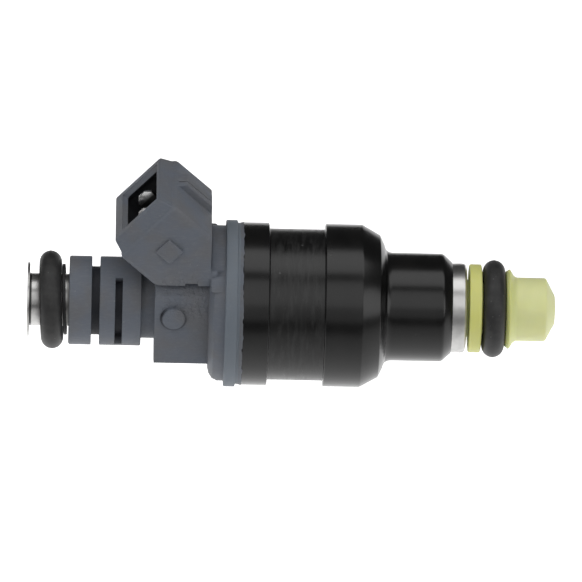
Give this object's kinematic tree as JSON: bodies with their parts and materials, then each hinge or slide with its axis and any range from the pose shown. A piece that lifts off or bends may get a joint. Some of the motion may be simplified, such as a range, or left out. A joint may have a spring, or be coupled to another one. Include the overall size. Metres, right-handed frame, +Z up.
{
  "type": "fuel injector",
  "caption": "Top-feed petrol fuel injector with a slanted blade socket, black steel coil housing, O-ring seals at both ends and a lifting needle behind a pintle cap.",
  "frame": {"origin": "on the injector's axis, in the middle of the lower O-ring's groove, where the intake pocket holds it", "axes": "+X along the injector towards the spray tip, +Z up on the side where the plug socket leans, +Y across"},
  "size_m": [0.0788, 0.025, 0.034],
  "materials": {
    "steel": "bright turned steel",
    "dark_steel": "black plated, satin",
    "core_steel": "dull",
    "rubber": "satin black",
    "grey_plastic": "fine matt grey, glass filled",
    "yellow_plastic": "translucent yellow-green, satin",
    "brass": "plain",
    "copper": "enamelled copper wire",
    "black_plastic": "black",
    "white_plastic": "natural nylon",
    "blade_tin": "tin plated, bright"
  },
  "bodies": {
    "injector_body": {"inlet_tube": "steel", "upper_o_ring": "rubber", "upper_backing_ring": "black_plastic", "strainer_sleeve": "brass", "strainer_frame": "white_plastic", "strainer_mesh": "steel", "adjusting_sleeve": "steel", "return_spring": "steel", "connector_body": "grey_plastic", "terminal_left": "blade_tin", "terminal_right": "blade_tin", "coil_lead_left": "copper", "coil_lead_right": "copper", "flux_plate": "core_steel", "coil_bobbin": "black_plastic", "coil_winding": "copper", "upper_coil_seal": "rubber", "lower_coil_seal": "rubber", "housing": "dark_steel", "stop_plate": "steel", "valve_body": "steel", "valve_body_seal": "rubber", "pintle_cap": "yellow_plastic", "lower_o_ring": "rubber"},
    "needle_assembly": {"armature": "core_steel", "needle": "steel"}
  },
  "joints": [
    {"name": "needle_lift", "type": "slide", "parent": "injector_body", "child": "needle_assembly", "axis": [-1, 0, 0], "range_m": [0, 0.0001], "stiffness_N_per_m": 1500, "springref_m": -0.002, "deforming": ["return_spring"]}
  ]
}
